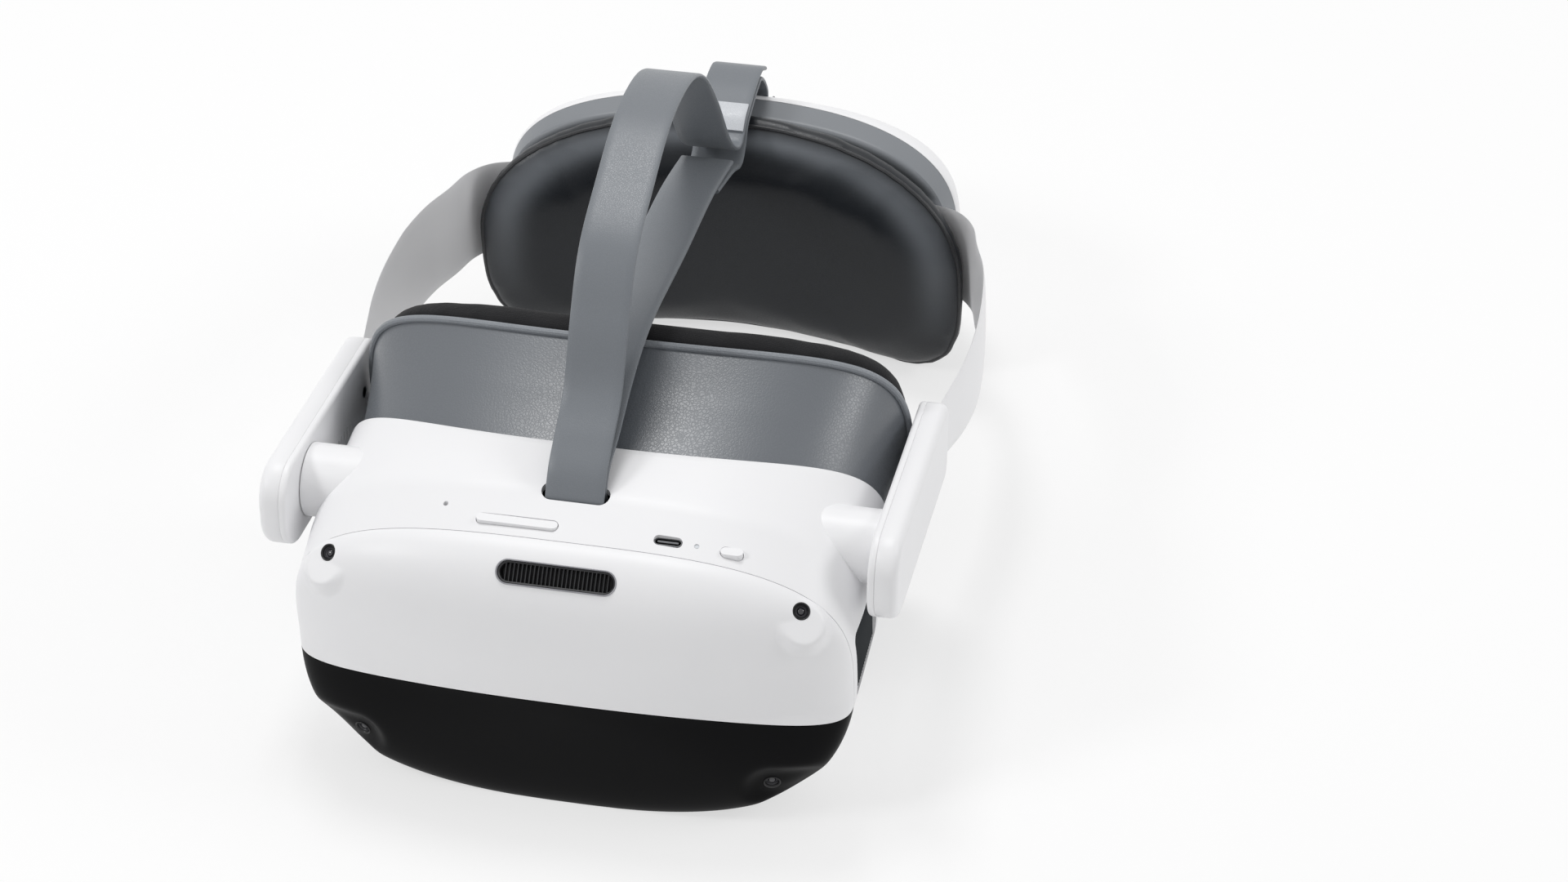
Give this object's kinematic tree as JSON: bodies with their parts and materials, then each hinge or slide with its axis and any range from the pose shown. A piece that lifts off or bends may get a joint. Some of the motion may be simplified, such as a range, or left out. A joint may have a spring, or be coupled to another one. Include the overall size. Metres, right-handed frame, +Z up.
{
  "type": "vr headset",
  "caption": "Stand-alone virtual reality headset with a white visor, padded face shield, hinged side arms, top straps and a dial-adjusted rear battery pad.",
  "frame": {"origin": "middle of the base of the bounding box, on the table", "axes": "front of the visor faces -Y, +X is to the viewer's right when the front is seen, +Z is up"},
  "size_m": [0.21, 0.3014, 0.1689],
  "materials": {
    "white_plastic": "satin white",
    "black_plastic": "satin black",
    "dark_plastic": "matt black",
    "grey_plastic": "matt grey",
    "dark_glass": "dark and polished",
    "clear_lens": "clear and polished",
    "steel": "plain",
    "sink_metal": "bare",
    "board": "solder mask",
    "cell_wrap": "film wrap",
    "led_lens": "milky",
    "shield_leather": "smooth grey",
    "cushion_fabric": "soft black",
    "pad_leather": "smooth dark grey",
    "strap": "soft grey",
    "patch": "light hooks"
  },
  "bodies": {
    "front": {"front_cover": "white_plastic", "lower_visor": "black_plastic", "main_housing": "white_plastic", "vent_grille": "dark_plastic", "camera_modules": "dark_plastic", "camera_lenses": "dark_glass", "side_intakes": "dark_plastic", "pivot_hub_left": "white_plastic", "pivot_hub_right": "white_plastic", "front_strap_bar": "dark_plastic", "optics_frame": "dark_plastic", "mainboard": "board", "frame_screws": "steel", "heat_sink": "sink_metal", "fan_housing": "dark_plastic", "fan_pin": "steel", "display_panel": "dark_glass", "ipd_rails": "steel", "inner_bezel": "dark_plastic", "proximity_sensor": "dark_glass", "interface_board": "board", "usb_port": "steel", "status_led": "led_lens", "microphone": "dark_plastic", "face_shield": "shield_leather", "face_cushion": "cushion_fabric"},
    "fan": {"fan_rotor": "dark_plastic"},
    "left_eye": {"lens_barrel_left": "dark_plastic", "lens_left": "clear_lens"},
    "right_eye": {"lens_barrel_right": "dark_plastic", "lens_right": "clear_lens"},
    "power": {"power_button": "white_plastic"},
    "volume": {"volume_rocker": "white_plastic"},
    "arms": {"arm_plate_left": "white_plastic", "arm_plate_right": "white_plastic", "arm_cover_left": "white_plastic", "arm_cover_right": "white_plastic", "arm_screws": "steel", "pivot_pin_left": "steel", "pivot_pin_right": "steel", "speaker_left": "dark_plastic", "speaker_right": "dark_plastic", "band_left": "white_plastic", "band_right": "white_plastic", "front_strap": "strap", "hook_patch": "patch"},
    "rear": {"rear_pad": "pad_leather", "pad_plate": "dark_plastic", "rear_cover": "grey_plastic", "rear_shell": "white_plastic", "rear_strap_bar": "dark_plastic", "battery_cells": "cell_wrap", "battery_board": "board", "rack_guide": "dark_plastic", "rear_strap": "strap"},
    "dial": {"dial_shaft": "steel", "dial_knob": "grey_plastic"},
    "left_rack": {"rack_left": "dark_plastic"},
    "right_rack": {"rack_right": "dark_plastic"}
  },
  "joints": [
    {"name": "fan_spin", "type": "hinge", "parent": "front", "child": "fan", "pos_m": [0, -0.14075, 0.062], "axis": [0, 1, 0], "continuous": true},
    {"name": "ipd_left", "type": "slide", "parent": "front", "child": "left_eye", "axis": [1, 0, 0], "range_m": [-0.00275, 0.00275]},
    {"name": "ipd_right", "type": "slide", "parent": "front", "child": "right_eye", "axis": [1, 0, 0], "range_m": [-0.00275, 0.00275]},
    {"name": "power_press", "type": "slide", "parent": "front", "child": "power", "axis": [0, 0, -1], "range_m": [0, 0.0006], "stiffness_N_per_m": 800, "springref_m": -0.001},
    {"name": "volume_rock", "type": "hinge", "parent": "front", "child": "volume", "pos_m": [-0.016, -0.12175, 0.09272], "axis": [0, 1, 0], "range_deg": [-1.3, 1.3], "stiffness_Nm_per_rad": 2},
    {"name": "harness_tilt", "type": "hinge", "parent": "front", "child": "arms", "pos_m": [0, -0.09475, 0.0775], "axis": [1, 0, 0], "range_deg": [-12, 30], "deforming": ["front_strap"]},
    {"name": "rear_slide", "type": "slide", "parent": "arms", "child": "rear", "axis": [0, 1, 0], "range_m": [-0.006, 0.014], "deforming": ["band_left", "band_right", "rear_strap", "hook_patch"]},
    {"name": "dial_turn", "type": "hinge", "parent": "rear", "child": "dial", "pos_m": [0, 0.14075, 0.05], "axis": [0, 1, 0], "range_deg": [-62, 144]},
    {"name": "rack_left_slide", "type": "slide", "parent": "rear", "child": "left_rack", "axis": [1, 0, 0], "range_m": [-0.0141, 0.0061]},
    {"name": "rack_right_slide", "type": "slide", "parent": "rear", "child": "right_rack", "axis": [1, 0, 0], "range_m": [-0.0061, 0.0141]}
  ],
  "couplings": [
    {"joint": "ipd_right", "follows": "ipd_left", "ratio": -1},
    {"joint": "dial_turn", "follows": "rear_slide", "rad_per_m": 178.57},
    {"joint": "rack_right_slide", "follows": "rear_slide", "ratio": 1},
    {"joint": "rack_left_slide", "follows": "rear_slide", "ratio": -1}
  ]
}
